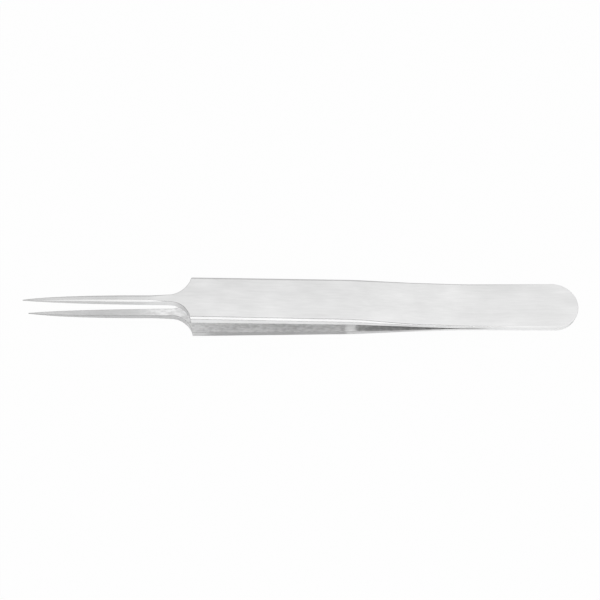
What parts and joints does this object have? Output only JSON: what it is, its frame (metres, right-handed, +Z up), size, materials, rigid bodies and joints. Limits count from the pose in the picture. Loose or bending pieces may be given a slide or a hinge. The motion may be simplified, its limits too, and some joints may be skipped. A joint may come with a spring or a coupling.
{
  "type": "fine-tip tweezers",
  "caption": "Straight stainless tweezers with flat bevelled grips, concave shoulders and long needle-fine tips, welded at a rounded tail.",
  "frame": {"origin": "the middle of the bounding box's base, on the table that the lower arm's grip lies on", "axes": "+X runs along the arms to the rounded tail, so the tips point along -X; +Z is up, from the lower arm to the upper arm; Y is across the width"},
  "size_m": [0.11, 0.0096, 0.009],
  "materials": {
    "steel": "satin, brushed along the arms, with polished bevels"
  },
  "bodies": {
    "root": {"upper_arm": "steel", "lower_arm": "steel"}
  },
  "joints": []
}
